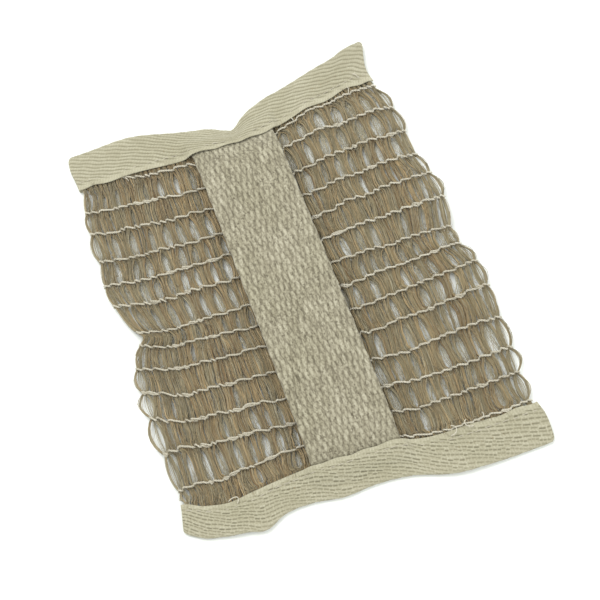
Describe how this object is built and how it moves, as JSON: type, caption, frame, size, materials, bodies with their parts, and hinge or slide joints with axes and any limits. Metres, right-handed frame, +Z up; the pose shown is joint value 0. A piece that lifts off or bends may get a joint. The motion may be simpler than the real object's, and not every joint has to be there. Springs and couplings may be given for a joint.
{
  "type": "back scrubber",
  "caption": "Rectangular scrubbing pad of open jute mesh with cotton cross threads, folded tape bound ends and a central webbing hand strap.",
  "frame": {"origin": "under the middle of the pad, on the surface that it lies on", "axes": "+X across the pad, +Y along the jute yarns and the hand strap, +Z up, with the hand strap on the upper side"},
  "size_m": [0.158, 0.196, 0.0104],
  "materials": {
    "jute_yarn": "coarse hairy bast fibre yarn, matte",
    "cotton_thread": "two-ply unbleached cotton, matte",
    "binding_tape": "cream cotton twill tape, matte",
    "strap_webbing": "beige woven cotton and jute webbing, matte",
    "seam_thread": "off-white sewing thread, matte"
  },
  "bodies": {
    "centre_panel": {"jute_yarn_centre": "jute_yarn", "cotton_pair_01_centre": "cotton_thread", "cotton_pair_02_centre": "cotton_thread", "cotton_pair_03_centre": "cotton_thread", "cotton_pair_04_centre": "cotton_thread", "cotton_pair_05_centre": "cotton_thread", "cotton_pair_06_centre": "cotton_thread", "cotton_pair_07_centre": "cotton_thread", "cotton_pair_08_centre": "cotton_thread", "cotton_pair_09_centre": "cotton_thread", "cotton_pair_10_centre": "cotton_thread", "cotton_pair_11_centre": "cotton_thread", "cotton_pair_12_centre": "cotton_thread", "cotton_pair_13_centre": "cotton_thread", "cotton_pair_14_centre": "cotton_thread", "far_binding_centre": "binding_tape", "far_seam_centre": "seam_thread", "near_binding_centre": "binding_tape", "near_seam_centre": "seam_thread", "far_strap_tail": "strap_webbing", "near_strap_tail": "strap_webbing"},
    "left_wing": {"jute_yarn_left": "jute_yarn", "cotton_pair_01_left": "cotton_thread", "cotton_pair_02_left": "cotton_thread", "cotton_pair_03_left": "cotton_thread", "cotton_pair_04_left": "cotton_thread", "cotton_pair_05_left": "cotton_thread", "cotton_pair_06_left": "cotton_thread", "cotton_pair_07_left": "cotton_thread", "cotton_pair_08_left": "cotton_thread", "cotton_pair_09_left": "cotton_thread", "cotton_pair_10_left": "cotton_thread", "cotton_pair_11_left": "cotton_thread", "cotton_pair_12_left": "cotton_thread", "cotton_pair_13_left": "cotton_thread", "cotton_pair_14_left": "cotton_thread", "far_binding_left": "binding_tape", "far_seam_left": "seam_thread", "near_binding_left": "binding_tape", "near_seam_left": "seam_thread"},
    "right_wing": {"jute_yarn_right": "jute_yarn", "cotton_pair_01_right": "cotton_thread", "cotton_pair_02_right": "cotton_thread", "cotton_pair_03_right": "cotton_thread", "cotton_pair_04_right": "cotton_thread", "cotton_pair_05_right": "cotton_thread", "cotton_pair_06_right": "cotton_thread", "cotton_pair_07_right": "cotton_thread", "cotton_pair_08_right": "cotton_thread", "cotton_pair_09_right": "cotton_thread", "cotton_pair_10_right": "cotton_thread", "cotton_pair_11_right": "cotton_thread", "cotton_pair_12_right": "cotton_thread", "cotton_pair_13_right": "cotton_thread", "cotton_pair_14_right": "cotton_thread", "far_binding_right": "binding_tape", "far_seam_right": "seam_thread", "near_binding_right": "binding_tape", "near_seam_right": "seam_thread"},
    "strap": {"hand_strap": "strap_webbing"}
  },
  "joints": [
    {"name": "strap_lift", "type": "slide", "parent": "centre_panel", "child": "strap", "axis": [0, 0, 1], "range_m": [0, 0.022]},
    {"name": "left_wing_curl", "type": "hinge", "parent": "centre_panel", "child": "left_wing", "pos_m": [-0.042, 0, 0.0022], "axis": [0, 1, 0], "range_deg": [-60, 75]},
    {"name": "right_wing_curl", "type": "hinge", "parent": "centre_panel", "child": "right_wing", "pos_m": [0.042, 0, 0.0022], "axis": [0, -1, 0], "range_deg": [-60, 75]}
  ]
}
